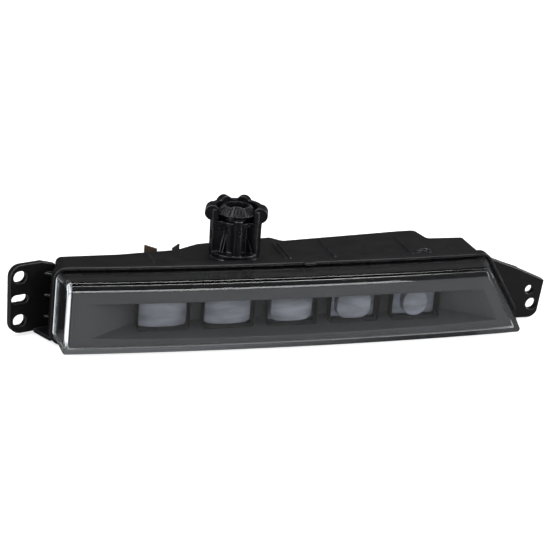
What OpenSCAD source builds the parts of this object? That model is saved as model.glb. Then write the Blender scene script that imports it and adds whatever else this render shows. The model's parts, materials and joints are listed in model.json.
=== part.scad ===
// Daytime running light: five light blocks in a long slant-ended lamp with an aiming adjuster.
// Millimetres. X runs along the lamp, Y to the back and Z up. The modules measure depth from
// the chord of the clear cover's lower front edge, and stand() moves them so that the origin
// lies on the flat underside.

/* [Clear cover] */
// Length of the lower front edge
cover_w = 240; // [230:1:250]
// Forward bulge of the front face at its middle
cover_bulge = 4.5; // [3:0.5:7]
// Height of the front face between its two long edges
face_h = 30.1; // [29:0.1:33]
// Height of the lower chamfer
lower_h = 2.7; // [2:0.1:3.5]
// Setback of the lower chamfer
lower_d = 1; // [0.5:0.1:1.5]
// Height of the upper chamfer
upper_h = 3.8; // [3:0.1:5]
// Setback of the upper chamfer
upper_d = 3; // [2:0.1:4]
// Depth from the front face to the rim
cover_d = 18.2; // [17.5:0.1:20]
// Wall of the clear plastic
cover_wall = 2.6; // [2.2:0.1:3]
// Run of the slanted right end for each millimetre of height
end_slant = 0.62; // [0.5:0.01:0.66]
// Run of the left end for each millimetre of height
left_slant = 0.04; // [0:0.01:0.1]
// Outward flare of the right side between front and rim
right_flare = 5.8; // [4:0.1:7]
// Outward flare of the left side between front and rim
left_flare = 1.6; // [0:0.1:2.5]
// Radius of the rim's corners
rim_r = 4.5; // [3:0.5:6]
// Length of the rim leg that stands in the seal channel
leg_d = 3.9; // [3:0.1:4.2]

/* [Housing] */
// Wall of the black housing
shell = 2.5; // [2:0.1:3]
// Overhang of the channel's flange round the cover's rim
flange_over = 2; // [1.6:0.1:3]
// Depth of the seal channel
channel_d = 5; // [4.8:0.1:6]
// Floor of the seal channel
channel_floor = 1.2; // [1:0.1:2]
// Wall between the seal channel and the inside
channel_wall = 1.3; // [1:0.1:1.6]
// Play of the rim leg in the channel, on each side
channel_gap = 0.5; // [0.3:0.05:0.6]
// Step from the cover's rim down to the housing's top
body_drop = 0.2; // [0.1:0.1:1]
// Inset of the left wall from the rim
left_inset = 2.6; // [1:0.1:3]
// Distance from the cover's lower right corner back to the electronics bay
bay_right = 38.5; // [36:0.5:42]
// Depth of the rear wall at the left end
rear_left = 40; // [39:0.5:42]
// Depth of the rear wall where the step to the adjuster begins
rear_step = 45; // [43:0.5:47]
// Depth of the rear wall behind the adjuster, left
rear_tower = 53; // [51:0.5:56]
// Depth of the rear wall just right of the adjuster
rear_peak = 58.5; // [56:0.5:60]
// Depth of the rear wall at the electronics bay's left side
rear_dip = 53.5; // [51:0.5:56]
// Depth of the electronics bay's corner
rear_bay = 63.5; // [60:0.5:66]
// Depth of the rear wall at the slanted end
rear_end = 49; // [46:0.5:52]

/* [Brackets] */
// Reach of the left ear from the housing's wall
left_reach = 23.5; // [22:0.5:27]
// Turn of the left ear towards the front
left_turn = 19; // [10:1:24]
// Thickness of the left ear
left_t = 3.5; // [3:0.1:4.5]
// Distance from the left ear's edge to the middle of its holes
left_edge = 5.4; // [5.2:0.1:7]
// Width of the oblong screw holes
oblong_w = 7.2; // [6.8:0.1:9]
// Height of the oblong screw holes
oblong_h = 6.3; // [6:0.1:6.6]
// Width of the slot between them
slot_w = 9.2; // [8:0.1:9.4]
// Height of the slot between them
slot_h = 4.5; // [4.4:0.1:5]
// Distance between the slot and each oblong hole
left_pitch = 11.4; // [10.5:0.1:12]
// Thickness of the right ear
right_t = 4; // [3:0.1:5]
// Reach of the right ear beyond the cover's lower corner
right_reach = 23; // [22:0.5:28]
// Radius of the right ear's screw hole
screw_hole_r = 3.2; // [2.8:0.1:3.5]
// Height of the right ear's screw hole above the base
screw_hole_z = 8.2; // [7:0.1:9]
// Radius of the right ear's locating hole
pin_hole_r = 2.45; // [2:0.05:2.8]
// Distance between the right ear's two holes in height
pin_pitch = 8.3; // [7.5:0.1:9]

/* [Aiming adjuster] */
// Place of the adjuster's axis along the lamp
tower_x = -27; // [-29:0.5:-26]
// Place of the adjuster's axis behind the front chord
tower_y = 36; // [35.5:0.5:38]
// Radius of the tower over its posts
tower_r = 13; // [12.5:0.1:14]
// Height of the tower from the housing's top to the crown's plate
tower_h = 18.6; // [16:0.2:21]
// Radius of the toothed wheel over its teeth
wheel_r = 10.2; // [9.8:0.1:10.5]
// Height of the toothed wheel above its neck
wheel_t = 3.8; // [3.4:0.1:4.2]
// Number of teeth
teeth = 28; // [20:1:30]
// Radius of the hole in the wheel
wheel_hole_r = 5.6; // [5:0.1:6]
// Radius of the adjuster's shaft in its bearing
shaft_r = 4; // [3.5:0.1:4.2]
// Radius of the threaded end
thread_r = 2.5; // [2:0.1:2.8]
// Running clearance of shafts and pivots, on the radius
run_gap = 0.05; // [0.03:0.01:0.08]

/* [Bezel and light blocks] */
// Play between the bezel and the clear cover
bezel_gap = 0.8; // [0.5:0.1:1]
// Wall of the bezel
bezel_wall = 2; // [1.5:0.1:2.2]
// Height of the bezel's frame below its opening
frame_low = 4; // [3:0.1:5]
// Height of the bezel's frame above its opening
frame_high = 7.2; // [6:0.1:8]
// Width of the bezel's frame at the left
frame_left = 7; // [6:0.5:10]
// Width of the bezel's frame at the lower right
frame_right = 6.5; // [5:0.5:8]
// Distance from the trough's inner wall to the cover's rim
trough_gap = 6.2; // [5.8:0.1:7]
// Rise of the trough's floor for each millimetre of depth
trough_rise = 0.4; // [0.3:0.02:0.5]
// Number of light blocks
blocks = 5; // [4:1:5]
// Gap between neighbouring light blocks
block_gap = 8.6; // [7:0.1:11]
// Distance from the cover's left end to the first light block
block_left = 38.1; // [36:0.1:42]
// Distance from the last light block to the cover's lower right corner
block_right = 45.5; // [44:0.1:50]
// Height that the trough's slopes leave off at the light blocks
block_inset = 4.9; // [4.6:0.1:6]
// Play of a light block in its window, above and below
window_gap = 1.3; // [1.2:0.1:1.5]
// Reach of a light block before the trough's inner wall
block_proud = 5.6; // [4.6:0.1:6]

/* [Tilting module] */
// Distance from the cover's rim back to the tilt pivots
pivot_back = 7.8; // [7.4:0.1:8.6]
// Drop of the tilt pivots from the middle of the front face
pivot_drop = 0.75; // [0.5:0.05:1.2]
// Radius of the pivot studs
pivot_r = 2.5; // [2:0.1:3]
// Thickness of the carrier's walls
carrier_wall = 2; // [1.6:0.1:2.4]
// Room above and below the carrier for its tilt
carrier_room = 3.55; // [3.2:0.05:4.2]
// Thickness of the circuit board
board_t = 1.6; // [1:0.1:2]
// Thickness of the heat sink's plate
sink_t = 2.6; // [2:0.1:3]
// Height of the heat sink's fins
fin_d = 4.2; // [3:0.1:4.6]

/* [Rear fittings] */
// Distance from the cover's lower right corner back to the plug socket
socket_right = 76; // [70:1:80]
// Width of the plug socket
socket_w = 21; // [19:0.5:23]
// Height of the plug socket
socket_h = 13; // [12:0.5:15]
// Length of the plug socket behind the wall
socket_l = 13; // [11:0.5:15]
// Distance from the cover's left end to the vent
vent_left = 28; // [22:1:32]
// Radius of the vent cap
vent_r = 7; // [6:0.1:8]
// Distance from the adjuster's axis to the spring clip
clip_off = 34; // [33:0.5:36]
// Width of the spring clip
clip_w = 9; // [8:0.5:10]

/* [Hidden] */
big = 400;
seg = 8;
seat = 0.05;
$fn = 64;
tiny = 0.02;

cover_low = flange_over;
edge_z = cover_low + lower_h;
cover_top = edge_z + face_h + upper_h;
cover_r = (cover_w * cover_w / 4 + cover_bulge * cover_bulge) / (2 * cover_bulge);
channel_end = cover_d + channel_d;
flange_end = channel_end + channel_floor;
inner_over = cover_wall + channel_gap;
left_wall = cover_w / 2 + left_flare - left_inset;
body_top = cover_top - body_drop;
crown_z = body_top + tower_h;
left_ear_y = rear_left - 1.5;
right_ear_y = flange_end;
right_ear_x = cover_w / 2 + right_reach;
open_low = edge_z + frame_low;
open_high = edge_z + face_h - frame_high;
open_left = cover_w / 2 - frame_left;
open_right = cover_w / 2 - frame_right;
trough_y = cover_d - trough_gap;
row_w = cover_w - block_left - block_right;
row_mid = (block_left - block_right) / 2;
block_pitch = (row_w + block_gap) / blocks;
block_w = block_pitch - block_gap;
block_x = row_mid - (blocks - 1) * block_pitch / 2;
block_h = open_high - open_low - block_inset;
block_y = trough_y - block_proud;
pivot_y = cover_d + pivot_back;
pivot_z = edge_z + face_h / 2 - pivot_drop;
window_z = pivot_z + 0.2;
carrier_h = face_h - 2 * carrier_room;
socket_x = cover_w / 2 - socket_right;
vent_x = vent_left - cover_w / 2;
clip_x = tower_x - clip_off;
board_y = pivot_y - 0.5;
sink_y = board_y + board_t + 0.1;
front_turn = -108;
nut_r = 5;
origin_y = 30;
// Bezel screws: their places, the face of the lugs and the screws' own sizes
boss_xs = [12 - cover_w / 2, cover_w / 2 - 24];
boss_z = edge_z + face_h - 3.6;
lug_y = cover_d - 0.9;
lug_r = 3.4;
lug_t = 3.5;
screw_r = 1.3;
screw_l = 10.5;
head_r = 2.9;
head_t = 1.8;

// Polygon grown by g: every corner of a counterclockwise outline moves along both its edges
function unit(v) = v / norm(v);
function grow(p, g) = [for (i = [0 : len(p) - 1])
    let (n = len(p), u = unit(p[i] - p[(i + n - 1) % n]), v = unit(p[(i + 1) % n] - p[i]),
         a = [u.y, -u.x], b = [v.y, -v.x])
    p[i] + g * (a + b) / (1 + a * b)];

// Outline with every corner turned into an arc of radius r
function arc_corner(a, b, c, r) =
    let (u = unit(b - a), v = unit(c - b), s = sign(u.x * v.y - u.y * v.x),
         turn = acos(min(1, u * v)), start = b - u * r * tan(turn / 2),
         mid = start + s * r * [-u.y, u.x], arm = start - mid)
    [for (k = [0 : seg]) let (t = s * turn * k / seg)
        mid + [arm.x * cos(t) - arm.y * sin(t), arm.x * sin(t) + arm.y * cos(t)]];
function rounded(p, r) = [for (i = [0 : len(p) - 1])
    each arc_corner(p[(i + len(p) - 1) % len(p)], p[i], p[(i + 1) % len(p)], r)];

function left_at(z) = -cover_w / 2 + left_slant * (z - edge_z);
function right_at(z) = cover_w / 2 - end_slant * (z - edge_z);
function quad(l, r, low, high) = [[left_at(low) - l, low], [right_at(low) + r, low],
    [right_at(high) + r, high], [left_at(high) - l, high]];
function rim_shape(g) = rounded(
    grow(quad(left_flare, right_flare, cover_low, cover_top), g), max(0.8, rim_r + g));
function body_shape(g) = rounded(
    grow(quad(left_flare - left_inset, right_flare - 0.5, 0, body_top), g), max(0.8, 3 + g));
function block_at(i) = block_x + (i - 1) * block_pitch;

// Plan of the housing's rear: it steps out round the adjuster and at the electronics bay
bay_x = cover_w / 2 - bay_right;
plan_end = cover_w;
turret_left = tower_x - tower_r - 2;
turret_right = tower_x + tower_r + 7;
rear_plan = [[-plan_end, 0], [plan_end, 0], [plan_end, rear_end - 2], [bay_x + 2.5, rear_end + 1],
    [bay_x, rear_bay], [bay_x - 8.5, rear_bay - 0.5], [turret_right + 11, rear_dip],
    [turret_right + 5.5, rear_peak + 1], [turret_right, rear_peak], [turret_left, rear_tower],
    [turret_left - tower_r, rear_step], [34 - cover_w / 2, rear_left + 1],
    [-plan_end, rear_left - 1]];

// Solid between two depths behind the curved front, swept along it
module ring(section) {
    half_turn = asin((cover_w / 2 + 24) / cover_r);
    translate([0, cover_r - cover_bulge, 0]) rotate([0, 0, -90 - half_turn])
        rotate_extrude(angle = 2 * half_turn, $fn = 900)
            polygon([for (p = section) [cover_r - p.x, p.y]]);
}
module behind(d, depth = 90) ring([[d, -30], [d + depth, -30], [d + depth, 100], [d, 100]]);

// Prism of an outline in X and Z between two depths
module prism(shape, y0 = -20, y1 = 90)
    translate([0, y1, 0]) rotate([90, 0, 0]) linear_extrude(y1 - y0) polygon(shape);

// All space on the near side of a plane through p whose normal is n
module near_side(p, n, g = 0)
    translate(p) rotate([0, -asin(n.z / norm(n)), atan2(n.y, n.x)])
        translate([g - big, -big, -big]) cube([big, 2 * big, 2 * big]);

// Space between the flared ends of the clear cover, grown by g
module between_ends(g) intersection() {
    near_side([cover_w / 2, 0, edge_z], [1, -right_flare / cover_d, end_slant], g);
    near_side([-cover_w / 2, 0, edge_z], [-1, -left_flare / cover_d, left_slant], g);
    prism(rim_shape(g));
}

// Space inside the cover's outer surface, set in by t, from the front to the given depth
module cover_space(t, depth) {
    low = edge_z - 4 * lower_h;
    high = edge_z + face_h + 3 * upper_h;
    intersection() {
        ring(grow([[depth, low], [depth, high], [3 * upper_d, high], [0, edge_z + face_h],
            [0, edge_z], [4 * lower_d, low]], -t));
        between_ends(-t);
    }
}

module lens_cover() color([0.75, 0.78, 0.8, 0.35]) {
    difference() {
        cover_space(0, cover_d);
        cover_space(cover_wall, cover_d + 30);
    }
    difference() {
        intersection() {
            behind(cover_d - tiny, leg_d);
            prism(rim_shape(0));
        }
        prism(rim_shape(-cover_wall));
    }
}

module lens_seal() color([0.12, 0.12, 0.13]) difference() {
    intersection() {
        behind(cover_d + leg_d, channel_d - leg_d - seat);
        prism(rim_shape(channel_gap / 2));
    }
    prism(rim_shape(-cover_wall - channel_gap / 2));
}

module flange() difference() {
    intersection() {
        behind(cover_d, channel_d + channel_floor);
        prism(rim_shape(flange_over));
    }
    difference() {
        intersection() {
            behind(cover_d - 1, channel_d + 1);
            prism(rim_shape(channel_gap));
        }
        prism(rim_shape(-inner_over));
    }
    prism(rim_shape(-inner_over - channel_wall));
}

module shell_body() difference() {
    intersection() {
        behind(channel_end + 0.2);
        prism(body_shape(0));
        translate([0, 0, -1]) linear_extrude(60) polygon(rounded(rear_plan, 2.4));
    }
    intersection() {
        prism(body_shape(-shell));
        translate([0, 0, -1]) linear_extrude(60) polygon(rounded(grow(rear_plan, -shell), 1.2));
    }
}

// Ribs on the top of the housing, each at its own place and as long as the top is deep there
rib_w = 0.9;
rib_h = 0.8;
ribs = [[clip_x - 10, 0], [turret_right + 4.2, 8], [turret_right + 6.9, 8], [bay_x - 57.7, 12],
    [bay_x - 15, 12]];
boss_place = [bay_x - 7.5, flange_end + 3.8];
module top_ribs() {
    for (rib = ribs) translate([rib[0] - rib_w / 2, flange_end + 1, body_top - 0.5])
        cube([rib_w, rear_left - flange_end + rib[1], rib_h + 0.5]);
    // Half a ring before the bay
    translate([boss_place.x, boss_place.y, body_top - 0.5]) difference() {
        cylinder(r = 4, h = 1.7);
        translate([0, 0, -1]) cylinder(r = 2.6, h = 4);
        translate([-5, -10, -1]) cube([10, 10, 4]);
    }
}

// Turret of the adjuster. Its own X axis is turned to the side from which a driver comes
core_r = shaft_r + 3.2;
drum_wall = 2;
foot_h = 2.6;
post_r = 2.6;
post_x = tower_r - post_r - 0.3;
slab_w = 4.2;
slab_turn = 68;
lobe_r = 3.9;
lobe_z = crown_z + 4.3;
crown_h = 7.2;
wheel_room = 0.7;
module tower_solid() translate([tower_x, tower_y, 0]) rotate([0, 0, front_turn]) {
    // Foot, core tube and crown plate
    translate([0, 0, body_top - 1]) {
        cylinder(r = tower_r, h = foot_h + 1);
        cylinder(r = core_r, h = crown_z - body_top + 1);
    }
    translate([0, 0, crown_z - 2.2]) cylinder(r = core_r + 1.4, h = 2.2);
    // Round wall behind, open to the front
    difference() {
        translate([0, 0, body_top - 0.5]) cylinder(r = tower_r, h = crown_z - body_top);
        cylinder(r = tower_r - drum_wall, h = crown_z);
        translate([2.2, -20, 0]) cube([30, 40, crown_z]);
    }
    // Round post in front with a screw hole in its head, tied to the core by a web
    rotate([0, 0, 8]) difference() {
        union() {
            translate([post_x, 0, body_top - 0.5]) cylinder(r = post_r, h = tower_h + 3);
            translate([shaft_r + 2, -1, body_top - 0.5]) cube([post_x - shaft_r - 2, 2, tower_h - 1.5]);
        }
        translate([post_x, 0, crown_z - 1.5]) cylinder(r = 1.1, h = 10);
    }
    for (pair = [[-45, foot_h, 9.6], [62, foot_h + 2, 10.5]])
        rotate([0, 0, pair[0]]) for (side = [-0.95, 0.95])
            translate([0, side + 0.4, body_top]) gusset(pair[1], pair[2]);
    difference() {
        union() {
            // Rim behind the wheel, open to the front so that a driver reaches the teeth
            difference() {
                translate([0, 0, crown_z - 1.5]) cylinder(r = tower_r + 0.2, h = crown_h + 1.5);
                translate([tower_r / 4, -20, crown_z - 2]) cube([30, 40, 20]);
            }
            // Slab posts that carry the driver guides
            for (turn = [-slab_turn, slab_turn]) rotate([0, 0, turn])
                translate([shaft_r + 2, -slab_w / 2, body_top - 0.5])
                    cube([tower_r - shaft_r - 1.9, slab_w, tower_h + crown_h - 0.5]);
            // Driver guides: one at each side and two at the back
            for (side = [-1, 1]) translate([-2, side * (tower_r - 1), lobe_z])
                rotate([0, 90, 0]) cylinder(r = lobe_r, h = 8);
            for (back = [-148, 167]) rotate([0, 0, back]) translate([wheel_r, 0, lobe_z + 0.6])
                rotate([0, 90, 0]) cylinder(r = lobe_r, h = tower_r + 2 - wheel_r);
        }
        translate([0, 0, crown_z]) cylinder(r = wheel_r + wheel_room, h = 20);
        // Slot in the left slab's outer face
        rotate([0, 0, -slab_turn]) translate([tower_r - 1, -0.8, crown_z - 10.2]) cube([3, 1.6, 5.2]);
    }
}
// Thin slanted gusset: its foot's height and reach
module gusset(low, reach) rotate([90, 0, 0]) linear_extrude(0.8)
    polygon([[shaft_r + 2, 0], [reach, 0], [reach, low], [core_r, 12], [shaft_r + 2, 12]]);

slot_z = pivot_z + 0.6;
ear_top = body_top - 1.1;
module left_ear() translate([-left_wall, left_ear_y, 0]) rotate([0, 0, left_turn]) {
    mid_x = -left_reach + left_edge;
    difference() {
        prism(rounded([[1.6, 1.5], [1.6, ear_top - 2.4], [-6, ear_top], [-left_reach, ear_top],
            [-left_reach, 1.5]], 0.4), 0, left_t);
        // Rounded outer corners
        for (high = [0, 1]) translate([-left_reach, 0, high ? ear_top : 1.5])
            mirror([0, 0, high]) difference() {
                translate([-1, -1, -1]) cube([7, left_t + 2, 7]);
                translate([6, -2, 6]) rotate([-90, 0, 0]) cylinder(r = 6, h = left_t + 4);
            }
        for (k = [-1, 1]) translate([mid_x, 0, slot_z + k * left_pitch]) oblong(oblong_w, oblong_h);
        translate([mid_x, 0, slot_z]) oblong(slot_w, slot_h);
    }
    // Short gussets between the ear and the housing, and a floor that runs on to the flange
    for (k = [-1, 0, 1]) translate([0, 0.5, slot_z - 0.6 + k * left_pitch]) linear_extrude(1.2)
        polygon([[1, 0], [-5, 0], [-4.4, -1], [1, -8.5]]);
    floor_d = left_ear_y - channel_end - 0.2;
    translate([0, 0.5, 0.6]) linear_extrude(2) polygon([[1.5, 0], [1.5 - left_reach / 2, 0],
        [-8.6, 0.8 - floor_d], [-4, 2 - floor_d], [2.5, 2 - floor_d]]);
}
module oblong(w, h) for (part = [0, 1]) {
    if (part == 0) translate([-w / 2 + h / 2, -5, -h / 2]) cube([w - h, 20, h]);
    else for (s = [-1, 1]) translate([s * (w - h) / 2, -5, 0]) rotate([-90, 0, 0])
        cylinder(r = h / 2, h = 20);
}

pin_z = screw_hole_z + pin_pitch;
module right_ear() difference() {
    inner = right_flare - 2;
    top = body_top - 1.4;
    prism(rounded([[right_at(0.5) + inner, 0.5], [right_ear_x - 2.4, 0.5],
        [right_ear_x, pin_z + 5.1], [right_ear_x - 15, pin_z + 11.7],
        [right_at(top) + right_flare - 0.6, top], [right_at(top) + inner, top]], 0.3),
        right_ear_y, right_ear_y + right_t);
    translate([right_ear_x - 2.4, 0, 0.5]) difference() {
        translate([-5.5, right_ear_y - 1, -1]) cube([9, right_t + 2, 7]);
        translate([-5, right_ear_y - 2, 6]) rotate([-90, 0, 0]) cylinder(r = 6, h = right_t + 4);
    }
    translate([right_ear_x - 5.8, 0, screw_hole_z]) rotate([-90, 0, 0])
        cylinder(r = screw_hole_r, h = 60);
    translate([right_ear_x - 7.8, 0, pin_z]) rotate([-90, 0, 0]) cylinder(r = pin_hole_r, h = 60);
}

// Bosses inside: pivot seats on both end walls and the adjuster's lower bearing
pivot_seat_left = 16 - cover_w / 2;
pivot_seat_right = cover_w / 2 - 21;
module inner_bosses() {
    translate([-left_wall + 1, pivot_y, pivot_z]) rotate([0, 90, 0])
        cylinder(r = pivot_r + 3, h = left_wall - 1 + pivot_seat_left);
    intersection() {
        translate([pivot_seat_right, pivot_y, pivot_z]) rotate([0, 90, 0])
            cylinder(r = pivot_r + 3, h = 30);
        // Clear of the seal channel, and out to the wall behind it
        union() {
            prism(rim_shape(-inner_over - 0.2));
            intersection() {
                behind(channel_end + 0.4);
                prism(body_shape(-1));
            }
        }
    }
    translate([tower_x, tower_y, 1]) cylinder(r = 5, h = 7);
    for (x = boss_xs) translate([x, lug_y + seat, boss_z]) rotate([-90, 0, 0])
        cylinder(r = lug_r + 1, h = rear_at(x) - lug_y - 1);
}

// Rear wall of the housing where a fitting stands, at its place along the lamp
function rear_at(x, i = 2) = x > rear_plan[i + 1].x && x <= rear_plan[i].x
    ? rear_plan[i].y + (rear_plan[i + 1].y - rear_plan[i].y) * (x - rear_plan[i].x)
        / (rear_plan[i + 1].x - rear_plan[i].x)
    : rear_at(x, i + 1);
socket_z = pivot_z - 3;
vent_z = pivot_z + 3;
clip_z = body_top - 11.4;
socket_y = rear_at(socket_x + socket_w / 2) + 1.5;
vent_y = rear_at(vent_x) + 1;
clip_y = rear_at(clip_x + clip_w / 2) + 0.6;

// Flat pads on the rear wall for the socket, the vent and the clip
module rear_pads() {
    translate([socket_x - socket_w / 2 - 2, socket_y - 8, socket_z - socket_h / 2 - 2])
        cube([socket_w + 4, 8, socket_h + 4]);
    translate([vent_x, vent_y - 3, vent_z]) rotate([-90, 0, 0]) cylinder(r = vent_r + 1, h = 3);
    translate([clip_x - clip_w / 2 - 1, clip_y - 4, clip_z])
        cube([clip_w + 2, 4, body_top - clip_z - 1]);
}

module housing() color([0.09, 0.09, 0.1]) difference() {
    union() {
        flange();
        difference() {
            union() {
                shell_body();
                difference() {
                    rear_pads();
                    intersection() {
                        prism(body_shape(-shell));
                        translate([0, 0, -1]) linear_extrude(60)
                            polygon(rounded(grow(rear_plan, -shell), 1.2));
                    }
                }
            }
            // Cut-outs behind the socket and the vent
            translate([socket_x - socket_w / 2 + 3, socket_y - 20, socket_z - socket_h / 2 + 3])
                cube([socket_w - 6, 30, socket_h - 6]);
            translate([vent_x, vent_y - 20, vent_z]) rotate([-90, 0, 0]) cylinder(r = 3, h = 30);
        }
        top_ribs();
        tower_solid();
        left_ear();
        right_ear();
        inner_bosses();
        // Snap tab over the middle of the cover's rim
        translate([3.5, cover_d - cover_bulge - 1.6, cover_top + channel_gap + 0.2])
            cube([5, 4, flange_over - channel_gap]);
    }
    // Bearings of the adjuster
    translate([tower_x, tower_y, body_top - 10]) cylinder(r = shaft_r + run_gap, h = 60);
    translate([tower_x, tower_y, 4]) cylinder(r = thread_r - 0.5 + run_gap, h = 20);
    // Seats of the pivot studs
    for (x = [pivot_seat_left - 7, pivot_seat_right - 1]) translate([x, pivot_y, pivot_z])
        rotate([0, 90, 0]) cylinder(r = pivot_r - 0.5, h = 8);
    // Wells of the bezel's screws, open to the back
    for (x = boss_xs) translate([x, 0, boss_z]) rotate([-90, 0, 0]) {
        cylinder(r = screw_r + 0.3, h = 90);
        translate([0, 0, lug_y + lug_t]) cylinder(r = head_r + 0.3, h = 90);
    }
}

// Trough of the bezel: sloped floor and roof, and an oblique cheek at each end
cheek_gap = 1.3;
left_cheek = (open_left + block_x - block_w / 2 - cheek_gap) / trough_y;
right_cheek = (open_right - end_slant * (pivot_z - open_low) - row_mid - row_w / 2 - cheek_gap)
    / trough_y;
module trough(g) intersection() {
    translate([-big / 2, 0, 0]) rotate([90, 0, 90]) linear_extrude(big)
        polygon(grow([[-30, open_low - 30 * trough_rise], [trough_y, open_low + trough_y * trough_rise],
            [trough_y, open_high - 1], [-30, open_high + 2]], g));
    near_side([-open_left, 0, 0], [-1, left_cheek, 0], g);
    near_side([open_right, 0, open_low], [1, right_cheek, end_slant], g);
}

module bezel() color([0.3, 0.31, 0.32]) difference() {
    edge = cover_wall + bezel_gap;
    cover_space(edge, cover_d - 0.3 + edge);
    trough(0);
    difference() {
        cover_space(edge + bezel_wall, cover_d + 30);
        trough(bezel_wall);
        // Lugs for the two screws
        for (x = boss_xs) translate([x, 0, boss_z]) rotate([-90, 0, 0]) cylinder(r = lug_r, h = 60);
    }
    translate([-big / 2, lug_y, 0]) cube([big, 30, 60]);
    for (i = [1 : blocks])
        translate([block_at(i) - block_w / 2 - 0.7, block_y - 0.8, window_z - block_h / 2 - window_gap])
            cube([block_w + 1.4, 30, block_h + 2 * window_gap]);
    for (x = boss_xs) translate([x, lug_y + lug_t - screw_l - 1, boss_z]) rotate([-90, 0, 0])
        cylinder(r = screw_r + 0.05, h = 30);
}

module bezel_screws() color([0.6, 0.6, 0.62]) for (x = boss_xs)
    translate([x, lug_y + lug_t + seat, boss_z]) rotate([-90, 0, 0]) {
        cylinder(r = head_r, h = head_t);
        translate([0, 0, -screw_l]) cylinder(r = screw_r, h = screw_l + tiny);
    }

stud_l = 10;
arm_gap = 5;
arm_t = 4;
module pivot_stud(x) {
    inward = x < 0 ? 90 : -90;
    translate([x, pivot_y, pivot_z]) rotate([0, inward, 0]) {
        cylinder(r = pivot_r + 1.9, h = 1.2);
        cylinder(r = pivot_r, h = stud_l);
        translate([0, 0, -6]) cylinder(r = pivot_r - 0.52, h = 7);
    }
}
module pivot_stud_left() color([0.7, 0.7, 0.72]) pivot_stud(pivot_seat_left);
module pivot_stud_right() color([0.7, 0.7, 0.72]) pivot_stud(pivot_seat_right);

module connector_socket() color([0.11, 0.11, 0.12])
    translate([socket_x, socket_y, socket_z]) difference() {
        union() {
            prism(rounded(box(socket_w + 2, socket_h + 2), 3), 0.1, 2.2);
            prism(rounded(box(socket_w - 2, socket_h - 2), 2.4), 0.1, socket_l);
            prism(rounded(box(socket_w - 6.6, socket_h - 6.6), 1), -6, 1);
            // Latch nose for the plug
            translate([-3, 6, socket_h / 2 - 1.4]) cube([6, 3, 1.6]);
        }
        prism(rounded(box(socket_w - 5.4, socket_h - 5.4), 1.2), 4, socket_l + 5);
        for (x = [-4.5, 0, 4.5]) translate([x - 0.5, -8, -1.1]) cube([1, 30, 2.2]);
    }
function box(w, h) = [[-w / 2, -h / 2], [w / 2, -h / 2], [w / 2, h / 2], [-w / 2, h / 2]];

module connector_terminals() color([0.8, 0.65, 0.3])
    for (x = [-4.5, 0, 4.5]) translate([socket_x + x - 0.4, socket_y - 9, socket_z - 1])
        cube([0.8, socket_l + 5, 2]);

module connector_seal() color([0.2, 0.2, 0.2])
    translate([socket_x, socket_y, socket_z]) difference() {
        prism(rounded(box(socket_w - 2 + 1.6, socket_h - 2 + 1.6), 3), 2.2 + seat, 3.6);
        prism(rounded(box(socket_w - 2 + 0.1, socket_h - 2 + 0.1), 2.4), 0, 8);
    }

module vent_cap() color([0.1, 0.1, 0.1])
    translate([vent_x, vent_y + seat, vent_z]) rotate([-90, 0, 0]) difference() {
        union() {
            rotate_extrude() polygon([[0, 0], [vent_r, 0], [vent_r, 2.6], [vent_r - 1, 4.2], [0, 4.6]]);
            translate([0, 0, -4]) cylinder(r = 2.9, h = 5);
        }
        for (k = [0 : 11]) rotate([0, 0, 30 * k]) translate([vent_r - 1.6, -0.6, 1]) cube([3, 1.2, 5]);
        translate([0, 0, -5]) cylinder(r = 1.8, h = 6);
    }

// Bent spring-steel clip: a strap on the rear wall with two prongs spread apart
module rear_clip() color([0.5, 0.42, 0.33]) translate([clip_x, clip_y + seat, clip_z]) {
    translate([-clip_w / 2, 0, 1]) cube([clip_w, 0.8, body_top - clip_z - 2]);
    for (side = [-1, 1]) translate([side * (clip_w / 2 - 0.4), 0.4, body_top - clip_z - 5])
        rotate([0, 0, side * -38]) translate([-0.4, 0, 0]) difference() {
            cube([0.8, 8, 5.6]);
            translate([-1, 8, -0.2]) rotate([50, 0, 0]) translate([0, -6, -6]) cube([3, 12, 6]);
        }
}

// Bevel wheel on a neck: V grooves cut across its cone leave the teeth
neck_h = 3.4;
wheel_edge = 0.5;
tooth_w = 0.9;
module adjuster_wheel() color([0.1, 0.1, 0.11]) translate([tower_x, tower_y, crown_z + 0.3]) difference() {
    cone_h = wheel_t - wheel_edge;
    rotate_extrude() polygon([[0, 0], [wheel_hole_r + 1.2, 0], [wheel_hole_r + 1.2, neck_h],
        [wheel_r, neck_h], [wheel_r, neck_h + wheel_edge], [wheel_r - cone_h, neck_h + wheel_t],
        [0, neck_h + wheel_t]]);
    for (k = [1 : teeth]) rotate([0, 0, 360 * k / teeth])
        translate([wheel_r - cone_h / 2, 0, neck_h + wheel_edge + cone_h / 2])
            rotate([0, 45, 0]) rotate([45, 0, 0]) cube([2 * wheel_t, tooth_w, tooth_w], center = true);
    translate([0, 0, neck_h + 0.4]) cylinder(r = wheel_hole_r, h = 10);
    translate([0, 0, -1]) cylinder(r = shaft_r - 1 + 0.03, h = 10);
}

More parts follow.
